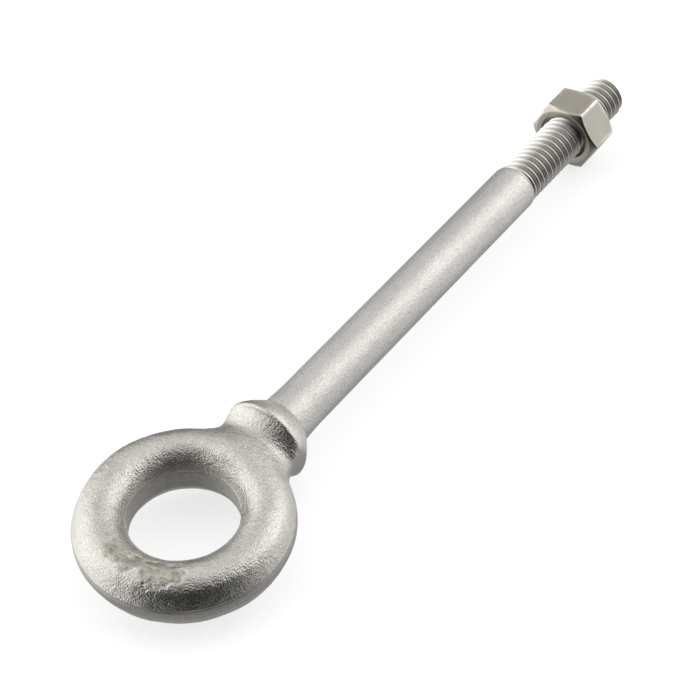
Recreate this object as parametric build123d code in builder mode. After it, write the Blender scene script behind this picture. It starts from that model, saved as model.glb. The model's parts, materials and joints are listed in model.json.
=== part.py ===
from build123d import *
import os

# Shoulder eye bolt with one hex nut, lying on its side: the eye's centre is the origin,
# +X runs along the shank to the threaded end, and +Z is the axis of the eye.  Millimetres.

INCH = 25.4

# ---- driving dimensions -------------------------------------------------------------
thread_size = 3 / 8 * INCH  # 3/8-16 UNC
threads_per_inch = 16
across_flats = 14.1  # takes a 9/16 in spanner
nut_height = 8.13
shank_diameter = 10.1  # as forged, a little over the thread
length_under_shoulder = 116.3  # 4-1/2 in nominal
thread_length = 37.0

ring_outer_radius = 20.5  # to the trimmed outer wall
ring_inner_radius = 10.35  # to the trimmed wall of the eye
ring_mean_radius = 15.3
section_half_width = 5.3
section_half_height = 6.05

shoulder_x = 28.9  # eye centre to the root of the shank
collar_diameter = 17.4
collar_back_x = 24.2
collar_rim = 0.4  # straight part of the collar's edge
crown_bulge = 0.3  # how far the crown stands out of a straight cone
seat_height = 0.25
seat_width = 0.3
root_diameter = 10.6  # the shank is a little thicker where it leaves the collar
root_taper = 6.0

neck_trim = 8.1  # half width between the trimmed walls of the neck
collar_trim = 8.5  # and of the collar
root_fillet = 4.0  # between the ring's wall and the neck's wall

nut_x = 127.5  # eye centre to the nut's near face
nut_turn = -3.1  # degrees, where the nut was left

# ---- derived dimensions -------------------------------------------------------------
pitch = INCH / threads_per_inch
crest_radius = thread_size / 2 - 0.015
thread_depth = 0.6134 * pitch
root_radius = crest_radius - thread_depth
crest_width = pitch / 8
root_width = pitch / 4
flank_width = (pitch - crest_width - root_width) / 2
tip_x = shoulder_x + length_under_shoulder
thread_start_x = tip_x - thread_length
tip_chamfer = 0.9

collar_radius = collar_diameter / 2
shank_radius = shank_diameter / 2
shank_root_radius = root_diameter / 2
across_corners = across_flats / 0.8660254
nut_crown = 0.95 * across_flats
nut_bore = thread_size + 0.175
nut_mouth = 1.17 * thread_size


# ---- eye: ring with a rounded section and trimmed walls ------------------------------
with BuildPart() as ring:
    with BuildSketch(Plane.XZ):
        with Locations((ring_mean_radius, 0)):
            Ellipse(section_half_width, section_half_height)
        with Locations(((ring_inner_radius + ring_outer_radius) / 2, 0)):
            trim_width = ring_outer_radius - ring_inner_radius
            Rectangle(trim_width, 3 * section_half_height, mode=Mode.INTERSECT)
    revolve(axis=Axis.Z)


# ---- neck: flares out of the ring and up to the collar -------------------------------
# each station: distance from the eye's centre, half width across Y, half height in Z
neck_stations = [
    (12.5, 12.4, 4.7),
    (16.2, 11.2, 5.8),
    (18.6, 9.8, 6.25),
    (20.8, 8.9, 6.85),
    (22.7, 8.75, 7.6),
    (collar_back_x, collar_radius, collar_radius - 0.15),
]
with BuildPart() as neck:
    for station_x, half_width, half_height in neck_stations:
        with BuildSketch(Plane.YZ.offset(station_x)):
            Ellipse(half_width, half_height)
    loft()


# ---- collar, plain shank and thread: turned about the shank's axis --------------------
# The thread is cut as parallel V grooves of the true pitch, crest, root and depth.
crown_start = (collar_back_x + collar_rim, collar_radius)
crown_end = (shoulder_x - seat_height, shank_root_radius + seat_width)
crown_middle = (
    (crown_start[0] + crown_end[0]) / 2 + crown_bulge * 0.7,
    (crown_start[1] + crown_end[1]) / 2 + crown_bulge * 0.7,
)
groove_pitch_x = [thread_start_x + 0.35 * pitch + n * pitch for n in range(int(thread_length / pitch) - 1)]

thread_profile = [
    crown_end,
    (shoulder_x, shank_root_radius + seat_width / 2),
    (shoulder_x, shank_root_radius),
    (shoulder_x + root_taper, shank_radius),
    (thread_start_x, shank_radius),
]
for groove_x in groove_pitch_x:
    thread_profile.append((groove_x, crest_radius))
    thread_profile.append((groove_x + flank_width, root_radius))
    thread_profile.append((groove_x + flank_width + root_width, root_radius))
    thread_profile.append((groove_x + 2 * flank_width + root_width, crest_radius))
thread_profile.append((tip_x - tip_chamfer, crest_radius))
thread_profile.append((tip_x, crest_radius - tip_chamfer))
thread_profile.append((tip_x, 0))
thread_profile.append((collar_back_x - 1, 0))
thread_profile.append((collar_back_x - 1, collar_radius - 1.2))
thread_profile.append((collar_back_x, collar_radius))
thread_profile.append(crown_start)

with BuildPart() as shank:
    with BuildSketch(Plane.XY):
        with BuildLine():
            ThreePointArc(crown_start, crown_middle, crown_end)
            Polyline(*thread_profile)
        make_face()
    revolve(axis=Axis.X)


# ---- the forging: one piece of steel from the eye to the thread ----------------------
with BuildPart() as eye_bolt:
    add(ring.part)
    add(neck.part)
    add(shank.part)
    # flash line: the die's outline in plan, with upright trimmed walls
    with BuildSketch(Plane.XY.offset(-2 * collar_radius)):
        Circle(ring_outer_radius)
        with Locations(((collar_back_x - 1) / 2, 0)):
            Rectangle(collar_back_x - 1, 2 * neck_trim)
        neck_corners = [v for v in vertices() if abs(abs(v.Y) - neck_trim) < 0.01 and 10 < v.X < 20]
        fillet(neck_corners, radius=root_fillet)
        with Locations(((collar_back_x - 1 + tip_x + 1) / 2, 0)):
            Rectangle(tip_x - collar_back_x + 2, 2 * collar_trim)
        Circle(ring_inner_radius, mode=Mode.SUBTRACT)
    extrude(amount=4 * collar_radius, mode=Mode.INTERSECT)

eye_bolt.part.label = "eye_bolt"


# ---- hex nut: chamfered on both faces, clear bore with countersunk mouths -------------
corner_drop = (across_corners - nut_crown) / 2 * 0.57735
mouth_depth = (nut_mouth - nut_bore) / 2
nut_far_x = nut_x + nut_height

with BuildPart() as hex_nut:
    with BuildSketch(Plane.YZ.offset(nut_x)):
        RegularPolygon(across_flats / 2, 6, major_radius=False, rotation=nut_turn)
    extrude(amount=nut_height)
    with BuildSketch(Plane.XY):
        with BuildLine():
            Polyline(
                (nut_x, nut_bore / 2 + mouth_depth),
                (nut_x, nut_crown / 2),
                (nut_x + corner_drop, across_corners / 2),
                (nut_far_x - corner_drop, across_corners / 2),
                (nut_far_x, nut_crown / 2),
                (nut_far_x, nut_bore / 2 + mouth_depth),
                (nut_far_x - mouth_depth, nut_bore / 2),
                (nut_x + mouth_depth, nut_bore / 2),
                close=True,
            )
        make_face()
    revolve(axis=Axis.X, mode=Mode.INTERSECT)

hex_nut.part.label = "hex_nut"


# ---- export --------------------------------------------------------------------------
os.makedirs("parts", exist_ok=True)
export_step(eye_bolt.part, "parts/eye_bolt.step")
export_step(hex_nut.part, "parts/hex_nut.step")
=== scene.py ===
import json
import math

import bpy
import numpy as np
from mathutils import Matrix, Vector


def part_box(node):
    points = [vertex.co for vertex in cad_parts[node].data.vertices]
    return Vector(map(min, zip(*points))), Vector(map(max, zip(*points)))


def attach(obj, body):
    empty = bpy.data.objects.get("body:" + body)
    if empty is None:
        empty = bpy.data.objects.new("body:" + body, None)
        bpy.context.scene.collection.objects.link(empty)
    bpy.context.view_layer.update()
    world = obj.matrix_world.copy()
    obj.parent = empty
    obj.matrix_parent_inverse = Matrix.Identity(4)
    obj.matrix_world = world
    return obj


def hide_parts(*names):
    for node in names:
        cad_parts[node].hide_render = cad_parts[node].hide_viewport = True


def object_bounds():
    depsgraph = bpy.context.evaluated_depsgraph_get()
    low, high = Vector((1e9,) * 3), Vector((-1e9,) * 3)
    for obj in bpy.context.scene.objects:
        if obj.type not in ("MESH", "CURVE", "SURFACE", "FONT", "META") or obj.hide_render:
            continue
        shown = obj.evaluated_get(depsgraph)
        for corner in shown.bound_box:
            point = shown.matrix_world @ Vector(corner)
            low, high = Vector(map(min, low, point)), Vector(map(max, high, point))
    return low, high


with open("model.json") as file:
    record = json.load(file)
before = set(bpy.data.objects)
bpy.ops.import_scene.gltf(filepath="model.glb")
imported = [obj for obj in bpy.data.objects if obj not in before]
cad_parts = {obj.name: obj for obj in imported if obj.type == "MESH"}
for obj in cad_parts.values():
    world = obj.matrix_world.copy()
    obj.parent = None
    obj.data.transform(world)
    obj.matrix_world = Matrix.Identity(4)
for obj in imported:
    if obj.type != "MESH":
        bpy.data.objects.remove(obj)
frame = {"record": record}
cad_box = [list(corner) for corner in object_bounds()]

MM = 0.001  # shapes are worked out in millimetres and written in metres

# ---- sizes, read from the frame where it has them -------------------------------------
bolt_low, bolt_high = (np.array(corner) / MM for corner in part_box("eye_bolt"))
nut_low, nut_high = (np.array(corner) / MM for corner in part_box("hex_nut"))
eye_mount = next(m for m in frame["record"]["mounts"] if m["name"] == "eye")

RING_OUTER = -bolt_low[0]
RING_INNER = eye_mount["dims"]["r_mm"]
EYE_WALL_Z = eye_mount["dims"]["length_mm"] / 2
COLLAR_RADIUS = bolt_high[2]
TIP_X = bolt_high[0]
NUT_X, NUT_FAR_X = nut_low[0], nut_high[0]

PITCH = 1.5875  # 3/8-16 thread
THREAD_LENGTH = 37.0
THREAD_X = TIP_X - THREAD_LENGTH
CREST_RADIUS = 4.7475
ROOT_RADIUS = CREST_RADIUS - 0.5 * PITCH  # rounder and a little shallower than the CAD's grooves
TIP_CHAMFER = 0.9
TIP_SLOPE = 0.95  # how fast the tip widens along the shank
SHANK_RADIUS = 5.05
ROOT_SWELL = 0.25  # the shank is a little thicker where it leaves the collar
ROOT_TAPER = 6.0
SHOULDER_X = 28.9
SHANK_OVERLAP = 3.0  # how far the shank's mesh reaches into the head

ACROSS_FLATS = 14.1
CORNER_RADIUS = ACROSS_FLATS / 2 / math.cos(math.pi / 6)
NUT_TURN = math.radians(-3.1)
NUT_CROWN = 0.475 * ACROSS_FLATS  # radius of the flat face inside the chamfer
NUT_MOUTH = 0.585 * 2 * CREST_RADIUS  # radius of the countersink
NUT_CHAMFER = math.radians(30)

RING_MEAN = 15.3
SECTION_WIDTH = 5.3  # half of the ring's section before trimming
SECTION_HEIGHT = 6.05
FLANK_SLOPE = math.radians(68)  # how far the ring's flank leans from lying flat
FLANK_Z = 1.15  # where the flank meets the trimmed wall
COLLAR_BACK_X = 24.2
CROWN_X = 24.6
CROWN_BULGE = 0.3  # how far the crown stands out of a straight cone
CROWN_REACH = 2.4  # half length of that bulge
SEAT_WIDTH = 0.3  # flat ring round the shank's root
RIM_WIDTH = 0.5  # how far the collar's straight edge reaches behind COLLAR_BACK_X
NECK_X = 14.0  # where the neck starts inside the ring
NECK_WIDTH = 8.3  # half width of the neck before it flares
NECK_HEIGHT = 5.8  # half height of the neck before it flares
FLARE_SLOPE = math.radians(45)
FLARE_INSET = 0.1  # the flare stops this much inside the collar's rim
WIDTH_FLARE = 0.45  # how much the neck widens for each mm that it gets higher
NECK_TRIM = 8.1  # half widths between the trimmed walls
COLLAR_TRIM = 8.5
NECK_WALL_X = 17.0  # where the ring's trimmed wall gives way to the neck's
CROWN_FROM_X = 16.0  # the crown has no say nearer the eye than this

# how widely neighbouring surfaces of the head are blended into each other
NECK_BLEND = 3.1  # ring into neck
OUTLINE_BLEND = 3.4  # the ring's trimmed wall into the neck's
FLARE_BLEND = 2.1
NECK_END_BLEND = 2.0
EDGE_BLEND = 0.5  # flank to section, and the collar's rim
NECK_RIM_BLEND = 0.4
CROWN_BLEND = 0.3
TRIM_BLEND = 0.16  # the edges of the trimmed walls
SEAT_BLEND = 0.15
FAR_OUTSIDE = 50.0  # distances that stand for "no surface here"
DEEP_INSIDE = -5.0


# ---- small helpers ---------------------------------------------------------------------
def smooth_min(a, b, k):
    """The lower of two distances, rounded where they meet over a width of k."""
    h = np.clip(0.5 + 0.5 * (b - a) / k, 0, 1)
    return b * (1 - h) + a * h - k * h * (1 - h)


def smooth_max(a, b, k):
    return -smooth_min(-a, -b, k)


def smooth_step(low, high, value):
    t = np.clip((value - low) / (high - low), 0, 1)
    return t * t * (3 - 2 * t)


def wave_noise(x, y, z, size, seed, octaves=3):
    """Smooth unevenness of about +-1 whose bumps are roughly `size` across, from summed waves."""
    draw = np.random.default_rng(seed)
    total = np.zeros_like(x)
    strength = 1.0
    for _ in range(octaves):
        for _ in range(7):
            direction = draw.normal(size=3)
            direction *= 2 * math.pi / (size * np.linalg.norm(direction) * draw.uniform(0.8, 1.3))
            phase = draw.uniform(0, 2 * math.pi)
            total += strength * np.sin(x * direction[0] + y * direction[1] + z * direction[2] + phase)
        strength *= 0.5
        size *= 0.5
    return total / 4.5


def new_object(name, points, faces):
    mesh = bpy.data.meshes.new(name)
    mesh.from_pydata((np.asarray(points) * MM).tolist(), [], [list(f) for f in faces])
    mesh.validate()
    mesh.update()
    mesh.shade_smooth()
    piece = bpy.data.objects.new(name, mesh)
    bpy.context.scene.collection.objects.link(piece)
    return piece


def write_attribute(piece, name, values):
    attribute = piece.data.attributes.new(name, "FLOAT", "POINT")
    attribute.data.foreach_set("value", values.astype(np.float32))


# ---- the forged head: eye, neck and collar as one rounded solid --------------------------
def trim_width(x):
    """Half width between the trimmed walls, from the neck out to the collar."""
    return NECK_TRIM + (COLLAR_TRIM - NECK_TRIM) * smooth_step(NECK_WALL_X, COLLAR_BACK_X, x)


def head_distance(x, y, z):
    """Roughly the distance in mm to the forging's skin, negative inside the steel."""
    across = np.hypot(x, y)
    around_shank = np.hypot(y, z)

    # ring with its rounded section
    ring = np.hypot((across - RING_MEAN) / SECTION_WIDTH, z / SECTION_HEIGHT) - 1
    ring = ring * SECTION_WIDTH
    past_wall = across - RING_OUTER
    flank = past_wall * math.sin(FLANK_SLOPE) + (np.abs(z) - FLANK_Z) * math.cos(FLANK_SLOPE)
    ring = smooth_max(ring, flank, EDGE_BLEND)

    # neck: an oval bar that flares to the collar's rim
    behind_collar = np.minimum(x, COLLAR_BACK_X) - COLLAR_BACK_X
    flare = COLLAR_RADIUS - FLARE_INSET - NECK_HEIGHT + behind_collar * math.tan(FLARE_SLOPE)
    flare = smooth_max(flare, 0 * x, FLARE_BLEND)
    neck_width = NECK_WIDTH + WIDTH_FLARE * flare
    neck_height = NECK_HEIGHT + flare
    neck = (np.hypot(y / neck_width, z / neck_height) - 1) * 0.5 * (neck_width + neck_height)
    neck = smooth_max(neck, around_shank - COLLAR_RADIUS, NECK_RIM_BLEND)
    neck = smooth_max(neck, NECK_X - x, NECK_END_BLEND)
    body = smooth_min(ring, neck, NECK_BLEND)

    # collar: a low crown from the rim down to the root of the shank
    seat_radius = SHANK_RADIUS + ROOT_SWELL + SEAT_WIDTH
    crown_angle = math.atan2(COLLAR_RADIUS - seat_radius, SHOULDER_X - CROWN_X)
    crown = (x - CROWN_X) * math.sin(crown_angle) + (around_shank - COLLAR_RADIUS) * math.cos(crown_angle)
    crown_middle = 0.5 * (CROWN_X + SHOULDER_X)
    crown = crown - CROWN_BULGE * np.clip(1 - ((x - crown_middle) / CROWN_REACH) ** 2, 0, 1)
    crown = smooth_max(crown, x - SHOULDER_X + 0.1, SEAT_BLEND)
    rim = smooth_max(around_shank - COLLAR_RADIUS, COLLAR_BACK_X - RIM_WIDTH - x, EDGE_BLEND)
    body = smooth_min(body, rim, EDGE_BLEND)
    body = smooth_max(body, np.where(x > CROWN_FROM_X, crown, DEEP_INSIDE), CROWN_BLEND)

    # trimmed walls, upright all round at the parting line
    neck_wall = np.where(x > 0, np.abs(y) - trim_width(x), FAR_OUTSIDE)
    outline = smooth_min(across - RING_OUTER, neck_wall, OUTLINE_BLEND)
    body = smooth_max(body, outline, TRIM_BLEND)
    return smooth_max(body, RING_INNER - across, TRIM_BLEND)


def neighbours(axis):
    """Slices that pair each grid point with the next one along an axis."""
    near = [slice(None)] * 3
    far = [slice(None)] * 3
    near[axis], far[axis] = slice(0, -1), slice(1, None)
    return tuple(near), tuple(far)


def surface_net(distance, low, high, step):
    """Meshes the zero surface of a distance function on a regular grid, then draws it onto the surface."""
    axes = [np.arange(a, b + step, step) for a, b in zip(low, high)]
    x, y, z = np.meshgrid(*axes, indexing="ij")
    values = distance(x, y, z)
    shape = np.array(values.shape)
    inside = values < 0

    corner_sum = np.zeros((shape[0] - 1, shape[1] - 1, shape[2] - 1, 3))
    crossings = np.zeros(shape - 1)
    for axis in range(3):
        near, far = neighbours(axis)
        a, b = values[near], values[far]
        crosses = (a < 0) != (b < 0)
        share = np.where(crosses, a / np.where(crosses, a - b, 1.0), 0.0)
        others = [k for k in range(3) if k != axis]
        for first in (0, 1):
            for second in (0, 1):
                pick = [slice(None)] * 3
                pick[others[0]] = slice(first, first + shape[others[0]] - 1)
                pick[others[1]] = slice(second, second + shape[others[1]] - 1)
                hit = crosses[tuple(pick)]
                offset = np.zeros(hit.shape + (3,))
                offset[..., axis] = share[tuple(pick)]
                offset[..., others[0]] = first
                offset[..., others[1]] = second
                corner_sum += offset * hit[..., None]
                crossings += hit

    used = crossings > 0
    index = np.full(used.shape, -1)
    index[used] = np.arange(used.sum())
    cells = np.argwhere(used)
    points = np.array(low) + step * (cells + corner_sum[used] / crossings[used][:, None])

    faces = []
    for axis in range(3):
        near, far = neighbours(axis)
        crosses = inside[near] != inside[far]
        spots = np.argwhere(crosses)
        b_axis, c_axis = (axis + 1) % 3, (axis + 2) % 3
        keep = (spots[:, b_axis] > 0) & (spots[:, c_axis] > 0)
        keep &= (spots[:, b_axis] < shape[b_axis] - 1) & (spots[:, c_axis] < shape[c_axis] - 1)
        spots = spots[keep]
        step_b, step_c = np.zeros(3, int), np.zeros(3, int)
        step_b[b_axis], step_c[c_axis] = 1, 1
        ring = [spots, spots - step_b, spots - step_b - step_c, spots - step_c]
        quads = np.stack([index[tuple(r.T)] for r in ring], 1)
        outward = inside[tuple(spots.T)]
        quads[~outward] = quads[~outward][:, ::-1]
        faces.append(quads)
    faces = np.concatenate(faces)

    nudge = 0.02
    longest_move = 0.6 * step
    for _ in range(3):
        value = distance(*points.T)
        rises = [distance(*(points + d).T) - distance(*(points - d).T) for d in np.eye(3) * nudge]
        slope = np.stack(rises, 1) / (2 * nudge)
        steepness = np.maximum((slope**2).sum(1), 0.05)
        move = slope * (value / steepness)[:, None]
        limit = longest_move / np.maximum(np.linalg.norm(move, axis=1), longest_move)
        points = points - move * limit[:, None]
    return points, faces


def wall_share(points, normals):
    """1 on the trimmed upright walls, 0 on the blasted skin; and the same for the eye's wall alone, which
    the material darkens with painted shade.
    """
    x, y, z = points.T
    across = np.hypot(x, y)
    near = 0.3
    ring_wall = smooth_step(FLANK_Z + 0.08, FLANK_Z - 0.08, np.abs(z))
    ring_wall = ring_wall * (across > RING_OUTER - near) * (x < NECK_WALL_X)
    eye_wall = smooth_step(EYE_WALL_Z + 0.05, EYE_WALL_Z - 0.11, np.abs(z))
    eye_wall = eye_wall * (across < RING_INNER + near)
    neck_wall = smooth_step(-0.25, -0.05, np.abs(y) - trim_width(x))
    upright = smooth_step(0.45, 0.25, np.abs(normals[:, 2]))
    neck_wall = neck_wall * (x > NECK_WALL_X - 1) * (across > 15) * upright
    return np.maximum(np.maximum(ring_wall, neck_wall), eye_wall), eye_wall


def vertex_normals(points, faces):
    mesh = new_object("scratch", points, faces)
    normals = np.zeros(len(points) * 3)
    mesh.data.vertices.foreach_get("normal", normals)
    bpy.data.objects.remove(mesh)
    return normals.reshape(-1, 3)


# where scale was pressed into the skin: a place on it and how far the patch spreads, in mm
SCALE_PATCHES = [
    ((-14.6, 3.0, 6.0), 2.5),
    ((-15.4, -1.6, 6.0), 2.1),
    ((-14.8, -6.2, 6.0), 3.2),
    ((-13.0, -8.8, 5.8), 1.9),
    ((6.2, -9.2, 2.6), 1.6),
    ((13.5, 7.0, -6.0), 3.2),
    ((-2.0, 15.3, -6.0), 3.4),
]


def scale_share(points):
    """1 in the middle of a patch of pressed-in scale, 0 on clean skin, with a ragged edge."""
    x, y, z = points.T
    ragged = 1.3 * wave_noise(x, y, z, 3.6, 61)
    share = np.zeros(len(points))
    for (px, py, pz), reach in SCALE_PATCHES:
        away = np.sqrt((x - px) ** 2 + (y - py) ** 2 + (z - pz) ** 2) + ragged
        share = np.maximum(share, smooth_step(reach + 0.25, reach - 0.5, away))
    return share


def forged_skin(points, normals, wall, scale):
    """Moves the skin in and out a little: die wear, scale marks, dents and shot grain."""
    x, y, z = points.T
    swell = 0.05 * wave_noise(x, y, z, 9.0, 3)
    uneven = 0.018 * wave_noise(x, y, z, 2.6, 5, octaves=2)
    grain = 0.010 * wave_noise(x, y, z, 0.75, 8, octaves=1)
    pits = scale * (-0.09 - 0.11 * smooth_step(-0.1, 0.4, wave_noise(x, y, z, 1.7, 34)))
    move = (1 - wall) * (swell + uneven + grain + pits - 0.03) + wall * 0.006 * wave_noise(x, y, z, 1.1, 55)
    seat = smooth_step(SHOULDER_X - 1.0, SHOULDER_X - 0.3, x)
    return points + normals * (move * (1 - seat))[:, None]


# ---- turned and threaded surfaces, as grids round the shank ------------------------------
def thread_depth(turn_position, crest, root):
    """Depth share of a rounded thread, 0 on the crest and 1 in the root, at a place along one pitch."""
    place = np.abs((turn_position % 1.0) - 0.5) * 2
    flank = np.clip((place - crest) / (1 - crest - root), 0, 1)
    return 0.5 * flank + 0.5 * (0.5 - 0.5 * np.cos(math.pi * flank))


def grid_faces(rows, columns, closed_rows=False):
    faces = []
    last = rows if closed_rows else rows - 1
    for i in range(last):
        a, b = i * columns, ((i + 1) % rows) * columns
        for j in range(columns):
            k = (j + 1) % columns
            faces.append((a + j, a + k, b + k, b + j))
    return faces


def make_shank():
    columns = 96
    angle = np.arange(columns) * 2 * math.pi / columns
    plain = np.linspace(SHOULDER_X - SHANK_OVERLAP, THREAD_X - 0.4, 90)
    threaded = np.arange(THREAD_X - 0.3, TIP_X, 0.075)
    stations = np.concatenate([plain, threaded, [TIP_X]])
    x, a = np.meshgrid(stations, angle, indexing="ij")
    run_in = smooth_step(THREAD_X, THREAD_X + 1.3 * PITCH, x)
    base = SHANK_RADIUS + (CREST_RADIUS - SHANK_RADIUS) * smooth_step(THREAD_X - 0.2, THREAD_X + 0.9, x)
    base = base + ROOT_SWELL * smooth_step(SHOULDER_X + ROOT_TAPER, SHOULDER_X, x)
    turn = (x - THREAD_X) / PITCH - a / (2 * math.pi)
    groove = thread_depth(turn, 0.11, 0.22) * run_in
    radius = base - groove * (CREST_RADIUS - ROOT_RADIUS)
    radius = np.minimum(radius, CREST_RADIUS - TIP_CHAMFER + (TIP_X - x) * TIP_SLOPE)
    uneven = 0.012 * wave_noise(x, radius * np.cos(a), radius * np.sin(a), 11.0, 13)
    radius = radius + uneven * (1 - smooth_step(THREAD_X - 3, THREAD_X, x))
    y, z = radius * np.cos(a), radius * np.sin(a)
    points = np.stack([x, y, z], -1).reshape(-1, 3)
    faces = grid_faces(len(stations), columns)
    # end caps: rings that close on the axis
    points = points.tolist()
    for end, row, flip in ((stations[0], 0, False), (TIP_X, len(stations) - 1, True)):
        previous = [row * columns + j for j in range(columns)]
        for share in (0.82, 0.45, 0.12):
            ring = []
            for j in range(columns):
                px, py, pz = points[row * columns + j]
                ring.append(len(points))
                points.append([end, py * share, pz * share])
            for j in range(columns):
                k = (j + 1) % columns
                quad = (previous[j], ring[j], ring[k], previous[k])
                faces.append(quad[::-1] if flip else quad)
            previous = ring
        faces.append(previous if flip else previous[::-1])
    shank = new_object("shank", points, faces)
    # the thread's depth, which the thread material also uses to paint shade into the grooves
    write_attribute(shank, "groove", np.pad(groove.reshape(-1), (0, len(points) - groove.size)))
    return shank


def make_nut():
    columns = 180
    angle = np.arange(columns) * 2 * math.pi / columns + NUT_TURN
    major, minor = CREST_RADIUS + 0.06, CREST_RADIUS - 0.78  # its thread, with play round the bolt's

    folded = (angle - NUT_TURN + math.pi / 6) % (math.pi / 3) - math.pi / 6
    to_flat = np.abs(folded)
    across = ACROSS_FLATS / 2 / np.cos(math.pi / 6 - to_flat)
    hexagon = smooth_min(across, np.full_like(across, CORNER_RADIUS - 0.05), 0.12)
    drop = (hexagon - NUT_CROWN) * math.tan(NUT_CHAMFER)

    def chamfered_face(face_x, inward):
        """Radius and x of each ring of points, from the mouth over face and chamfer to the flats."""
        past_crown = NUT_CROWN + 0.12
        halfway = past_crown + 0.5 * (hexagon - NUT_CROWN - 0.2)
        return [
            (NUT_MOUTH, face_x),
            (NUT_MOUTH + 0.05, face_x),
            (0.5 * (NUT_MOUTH + NUT_CROWN), face_x),
            (NUT_CROWN - 0.12, face_x),
            (NUT_CROWN, face_x + inward * 0.02),
            (past_crown, face_x + inward * 0.09),
            (halfway, face_x + inward * (0.09 + 0.5 * (drop - 0.12))),
            (hexagon - 0.07, face_x + inward * (drop - 0.02)),
            (hexagon - 0.015, face_x + inward * (drop + 0.05)),
            (hexagon, face_x + inward * (drop + 0.14)),
        ]

    rings = chamfered_face(NUT_X, 1)
    for share in np.linspace(0.1, 0.9, 7):
        rings.append((hexagon, NUT_X + drop + 0.14 + share * (NUT_FAR_X - NUT_X - 2 * drop - 0.28)))
    rings += chamfered_face(NUT_FAR_X, -1)[::-1]
    for x in np.arange(NUT_FAR_X - 0.02, NUT_X + 0.02, -0.09):
        turn = (x - THREAD_X) / PITCH - angle / (2 * math.pi)
        thread = major - thread_depth(turn, 0.16, 0.13) * (major - minor)
        edge = min(x - NUT_X, NUT_FAR_X - x)
        rings.append((np.maximum(thread, NUT_MOUTH - edge), x))

    radius = np.array([np.broadcast_to(ring_radius, columns) for ring_radius, _ in rings])
    x = np.array([np.broadcast_to(ring_x, columns) for _, ring_x in rings])
    y, z = radius * np.cos(angle), radius * np.sin(angle)
    points = np.stack([x, y, z], -1).reshape(-1, 3)
    nut = new_object("nut", points, grid_faces(len(rings), columns, closed_rows=True))

    # corners and the chamfer's ridge are rubbed bright
    from_face = np.minimum(x - NUT_X, NUT_FAR_X - x)
    outside = smooth_step(NUT_MOUTH + 0.2, NUT_MOUTH + 0.6, radius)
    corner = smooth_step(0.34, 0.05, CORNER_RADIUS - radius)
    ridge = smooth_step(0.2, 0.04, np.abs(from_face - drop - 0.03)) * smooth_step(0.05, 0.25, drop)
    worn = outside * np.maximum(corner, ridge)
    write_attribute(nut, "worn", worn.reshape(-1))
    return nut


# ---- materials ---------------------------------------------------------------------------
class Nodes:
    """A short way to build a node tree."""

    def __init__(self, name):
        self.material = bpy.data.materials.new(name)
        self.material.use_nodes = True
        self.tree = self.material.node_tree
        self.shader = self.tree.nodes["Principled BSDF"]
        self.place = self.add("ShaderNodeTexCoord").outputs["Object"]

    def add(self, kind, **settings):
        node = self.tree.nodes.new(kind)
        for key, value in settings.items():
            setattr(node, key, value)
        return node

    def link(self, output, target):
        self.tree.links.new(output, target)

    def noise(self, size_mm, detail=3.0, roughness=0.55, stretch=(1, 1, 1), offset=0.0):
        """Noise whose features are about size_mm across."""
        spread = self.add("ShaderNodeMapping")
        spread.inputs["Scale"].default_value = [1 / s for s in stretch]
        spread.inputs["Location"].default_value = (offset, offset * 0.7, offset * 1.3)
        self.link(self.place, spread.inputs["Vector"])
        node = self.add("ShaderNodeTexNoise")
        node.inputs["Scale"].default_value = 1 / (size_mm * MM)
        node.inputs["Detail"].default_value = detail
        node.inputs["Roughness"].default_value = roughness
        self.link(spread.outputs["Vector"], node.inputs["Vector"])
        return node.outputs["Fac"]

    def ramp(self, value, stops):
        node = self.add("ShaderNodeValToRGB")
        while len(node.color_ramp.elements) < len(stops):
            node.color_ramp.elements.new(0.5)
        for element, (position, colour) in zip(node.color_ramp.elements, stops):
            element.position = position
            element.color = (*colour, 1)
        self.link(value, node.inputs["Fac"])
        return node.outputs["Color"]

    def levels(self, value, low, high, out_low, out_high):
        node = self.add("ShaderNodeMapRange")
        for key, number in zip(("From Min", "From Max", "To Min", "To Max"), (low, high, out_low, out_high)):
            node.inputs[key].default_value = number
        self.link(value, node.inputs["Value"])
        return node.outputs["Result"]

    def mix(self, share, a, b, kind="MIX"):
        node = self.add("ShaderNodeMix", data_type="RGBA", blend_type=kind)
        if isinstance(share, float):
            node.inputs["Factor"].default_value = share
        else:
            self.link(share, node.inputs["Factor"])
        self.link(a, node.inputs["A"])
        self.link(b, node.inputs["B"])
        return node.outputs["Result"]

    def maths(self, operation, a, b):
        node = self.add("ShaderNodeMath", operation=operation)
        for socket, value in zip(node.inputs, (a, b)):
            if isinstance(value, (int, float)):
                socket.default_value = value
            else:
                self.link(value, socket)
        return node.outputs["Value"]

    def bump(self, height, strength, depth_mm):
        node = self.add("ShaderNodeBump")
        node.inputs["Strength"].default_value = strength
        node.inputs["Distance"].default_value = depth_mm * MM
        self.link(height, node.inputs["Height"])
        return node.outputs["Normal"]

    def attribute(self, name):
        return self.add("ShaderNodeAttribute", attribute_name=name).outputs["Fac"]


def grey(value, warm=0.08):
    """Steel grey, with blue taken out and a little red added as it gets warmer."""
    return (value * (1 + 0.5 * warm), value, value * (1 - warm))


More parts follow.
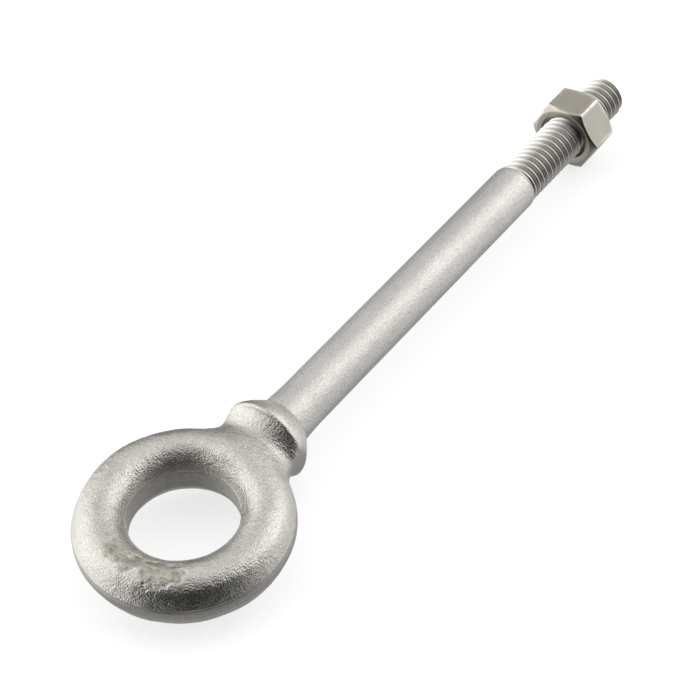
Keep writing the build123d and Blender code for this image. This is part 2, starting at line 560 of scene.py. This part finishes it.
def blasted_steel():
    """Forged stainless steel after shot blasting: fine dimples, duller patches and dark specks."""
    n = Nodes("blasted_steel")
    wall = n.attribute("wall")
    scale = n.attribute("scale")
    grain = n.noise(0.34, detail=2.0, roughness=0.6)
    coarse = n.noise(1.3, detail=2.0)
    patches = n.noise(6.0, detail=4.0, offset=0.013)
    base = n.ramp(patches, [(0.3, grey(0.43, 0.07)), (0.7, grey(0.53, 0.06))])
    specks = n.ramp(grain, [(0.30, grey(0.62, 0.08)), (0.56, grey(1.0, 0.0))])
    colour = n.mix(0.66, base, specks, "MULTIPLY")
    stain = n.ramp(coarse, [(0.35, grey(0.20, 0.15)), (0.65, grey(0.38, 0.12))])
    colour = n.mix(n.maths("MULTIPLY", scale, 0.85), colour, stain)
    trimmed = n.ramp(coarse, [(0.3, grey(0.35, 0.05)), (0.7, grey(0.39, 0.05))])
    # eye: trimmed steel, coloured darker than the other trimmed walls as painted shade for the recess of the
    # hole
    eye = n.ramp(coarse, [(0.3, grey(0.27, 0.09)), (0.7, grey(0.32, 0.09))])
    colour = n.mix(n.attribute("eye_wall"), n.mix(wall, colour, trimmed), eye)
    n.link(colour, n.shader.inputs["Base Color"])
    n.shader.inputs["Metallic"].default_value = 1.0
    rough = n.maths("ADD", n.levels(patches, 0.3, 0.7, 0.33, 0.39), n.levels(grain, 0.3, 0.7, 0.05, -0.05))
    n.link(rough, n.shader.inputs["Roughness"])
    height = n.maths("ADD", grain, n.maths("MULTIPLY", coarse, 0.6))
    height = n.maths("MULTIPLY", height, n.levels(wall, 0, 1, 1.0, 0.25))
    n.link(n.bump(height, 1.0, 0.145), n.shader.inputs["Normal"])
    return n.material


def satin_shank_steel():
    """The plain shank: the same steel, blasted more finely."""
    n = Nodes("satin_shank_steel")
    grain = n.noise(0.30, detail=2.0, roughness=0.6)
    streak = n.noise(0.6, detail=2.0, stretch=(4, 1, 1))
    patches = n.noise(9.0, detail=3.0, offset=0.021)
    base = n.ramp(patches, [(0.3, grey(0.49, 0.05)), (0.7, grey(0.535, 0.04))])
    shade = n.ramp(grain, [(0.30, grey(0.58, 0.06)), (0.56, grey(1.0, 0.0))])
    n.link(n.mix(0.65, base, shade, "MULTIPLY"), n.shader.inputs["Base Color"])
    n.shader.inputs["Metallic"].default_value = 1.0
    n.link(n.levels(grain, 0.3, 0.7, 0.48, 0.38), n.shader.inputs["Roughness"])
    height = n.maths("ADD", grain, n.maths("MULTIPLY", streak, 0.4))
    n.link(n.bump(height, 0.8, 0.12), n.shader.inputs["Normal"])
    return n.material


def thread_steel():
    """Machined thread: light steel on its crests, darkened with painted shade in its grooves, with fine tool
    marks round it.
    """
    n = Nodes("thread_steel")
    fine = n.noise(0.25, detail=2.0, stretch=(1, 3, 3))
    patches = n.noise(3.0, detail=3.0)
    crest = n.ramp(patches, [(0.3, grey(0.55, 0.06)), (0.7, grey(0.62, 0.03))])
    # root: painted shade, the steel coloured darker the deeper the groove
    root = n.ramp(patches, [(0.3, grey(0.32, 0.10)), (0.7, grey(0.40, 0.07))])
    groove = n.levels(n.attribute("groove"), 0.25, 0.9, 0.0, 1.0)
    n.link(n.mix(groove, crest, root), n.shader.inputs["Base Color"])
    n.shader.inputs["Metallic"].default_value = 1.0
    n.link(n.levels(fine, 0.3, 0.7, 0.33, 0.43), n.shader.inputs["Roughness"])
    n.link(n.bump(fine, 0.25, 0.03), n.shader.inputs["Normal"])
    return n.material


def nut_steel():
    """Machined nut: smooth, a little warmer and darker, with faint stains and rubbed corners."""
    n = Nodes("nut_steel")
    cloud = n.noise(4.0, detail=4.0)
    fine = n.noise(0.5, detail=3.0)
    skin = n.ramp(cloud, [(0.3, grey(0.31, 0.15)), (0.7, grey(0.345, 0.11))])
    rubbed = n.ramp(fine, [(0.3, grey(0.52, 0.08)), (0.6, grey(0.68, 0.06))])
    worn = n.maths("MULTIPLY", n.attribute("worn"), n.levels(cloud, 0.4, 0.6, 0.2, 1.0))
    n.link(n.mix(worn, skin, rubbed), n.shader.inputs["Base Color"])
    n.shader.inputs["Metallic"].default_value = 1.0
    n.link(n.levels(fine, 0.3, 0.7, 0.28, 0.36), n.shader.inputs["Roughness"])
    n.link(n.bump(fine, 0.15, 0.03), n.shader.inputs["Normal"])
    return n.material


def floor_paper():
    """Plain pale paper that glows a little, so that it stays near white."""
    n = Nodes("floor_paper")
    fibre = n.noise(1.2, detail=3.0)
    n.link(n.ramp(fibre, [(0.3, grey(0.37, 0.0)), (0.7, grey(0.39, 0.0))]), n.shader.inputs["Base Color"])
    n.shader.inputs["Emission Color"].default_value = (1, 1, 1, 1)
    n.shader.inputs["Emission Strength"].default_value = 0.70
    n.shader.inputs["Roughness"].default_value = 0.9
    return n.material


# ---- build the pieces ----------------------------------------------------------------------
def make_forging():
    step = 0.24
    margin = 1.2
    low = (-RING_OUTER - margin, -RING_OUTER - margin, -COLLAR_RADIUS - margin)
    high = (SHOULDER_X + margin, RING_OUTER + margin, COLLAR_RADIUS + margin)
    points, faces = surface_net(head_distance, low, high, step)
    normals = vertex_normals(points, faces)
    wall, eye_wall = wall_share(points, normals)
    scale = scale_share(points)
    points = forged_skin(points, normals, wall, scale)
    head = new_object("forging", points, faces)
    # eye_wall marks where the head's material paints shade into the eye's hole
    for name, share in (("wall", wall), ("eye_wall", eye_wall), ("scale", scale)):
        write_attribute(head, name, share)
    shank = make_shank()
    for material in (blasted_steel(), satin_shank_steel(), thread_steel()):
        head.data.materials.append(material)
        shank.data.materials.append(material)
    centres = np.zeros(len(shank.data.polygons) * 3)
    shank.data.polygons.foreach_get("center", centres)
    plain, threaded = 1, 2  # in the order of the materials above
    slots = np.where(centres.reshape(-1, 3)[:, 0] > (THREAD_X + 0.3) * MM, threaded, plain)
    shank.data.polygons.foreach_set("material_index", slots.astype(np.int32))
    return head, shank


head, shank = make_forging()
nut = make_nut()
nut.data.materials.append(nut_steel())

for piece in (head, shank):
    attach(piece, "bolt")
    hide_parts("eye_bolt")
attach(nut, "nut")
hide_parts("hex_nut")


# ---- stage: floor, lights and camera -------------------------------------------------------
def make_floor():
    half = 4000
    corners = [(-half, -half, 0), (half, -half, 0), (half, half, 0), (-half, half, 0)]
    floor = new_object("floor", corners, [(0, 1, 2, 3)])
    floor.location.z = cad_box[0][2]
    floor.data.materials.append(floor_paper())
    floor.visible_glossy = False  # the steel mirrors the room's own lower half instead


# The room as directions, for light and for what the steel mirrors: axis, cosines where each
# begins and is full, and how much light it adds to the white room, or takes from it if below 0.
ROOM_LIGHT = 0.95
STUDIO_BOXES = [
    ((-0.35, 0.92, 0.17), 0.42, 0.82, 1.22),
    ((0.60, -0.43, 0.68), 0.78, 0.97, 1.25),
    ((0.85, -0.50, 0.10), 0.60, 0.95, 0.42),
    ((0.53, 0.848, -0.03), 0.84, 0.965, -0.92),
    ((0.0, 0.0, -1.0), 0.45, 0.85, -0.45),
]
# this one takes away a share of all the rest
DARK_SIDE = ((-0.71, -0.69, 0.12), 0.33, 0.62, -0.98)
# except here, because what the pale floor throws back reaches below the dark side
FLOOR_SIDE = ((0.0, 0.0, -1.0), 0.52, 0.72, 1.0)


def make_studio():
    world = bpy.data.worlds.new("studio")
    bpy.context.scene.world = world
    world.use_nodes = True
    tree = world.node_tree
    background = tree.nodes["Background"]
    direction = tree.nodes.new("ShaderNodeTexCoord").outputs["Generated"]

    def lobe(axis, begins, full, amount):
        dot = tree.nodes.new("ShaderNodeVectorMath")
        dot.operation = "DOT_PRODUCT"
        dot.inputs[1].default_value = Vector(axis).normalized()
        tree.links.new(direction, dot.inputs[0])
        spread = tree.nodes.new("ShaderNodeMapRange")
        spread.interpolation_type = "SMOOTHSTEP"
        for key, number in zip(("From Min", "From Max", "To Min", "To Max"), (begins, full, 0.0, amount)):
            spread.inputs[key].default_value = number
        tree.links.new(dot.outputs["Value"], spread.inputs["Value"])
        return spread.outputs["Result"]

    def maths(operation, a, b):
        node = tree.nodes.new("ShaderNodeMath")
        node.operation = operation
        for socket, value in zip(node.inputs, (a, b)):
            if isinstance(value, float):
                socket.default_value = value
            else:
                tree.links.new(value, socket)
        return node.outputs["Value"]

    light = ROOM_LIGHT
    for box in STUDIO_BOXES:
        light = maths("ADD", light, lobe(*box))
    dark = maths("MULTIPLY", lobe(*DARK_SIDE), maths("SUBTRACT", 1.0, lobe(*FLOOR_SIDE)))
    light = maths("MULTIPLY", light, maths("ADD", dark, 1.0))
    tree.links.new(light, background.inputs["Strength"])
    background.inputs["Color"].default_value = (1, 1, 1, 1)


SENSOR_WIDTH = 36  # mm, as is the focal length
FOCAL_LENGTH = 102.3
CAMERA_PLACE = (-0.1550, -0.16386, 0.28311)  # metres
CAMERA_RIGHT = (0.593, -0.805, -0.035)
CAMERA_FORWARD = (0.533, 0.425, -0.731)


def make_camera():
    lens = bpy.data.cameras.new("camera")
    lens.sensor_width = SENSOR_WIDTH
    lens.lens = FOCAL_LENGTH
    lens.clip_end = 20
    camera = bpy.data.objects.new("camera", lens)
    right = Vector(CAMERA_RIGHT).normalized()
    forward = Vector(CAMERA_FORWARD).normalized()
    right = (right - forward * right.dot(forward)).normalized()
    up = right.cross(forward)
    turn = Matrix((right, up, -forward)).transposed().to_4x4()
    camera.matrix_world = Matrix.Translation(CAMERA_PLACE) @ turn
    bpy.context.scene.collection.objects.link(camera)
    bpy.context.scene.camera = camera


make_floor()
make_camera()
make_studio()
bpy.context.scene.view_settings.view_transform = "Standard"
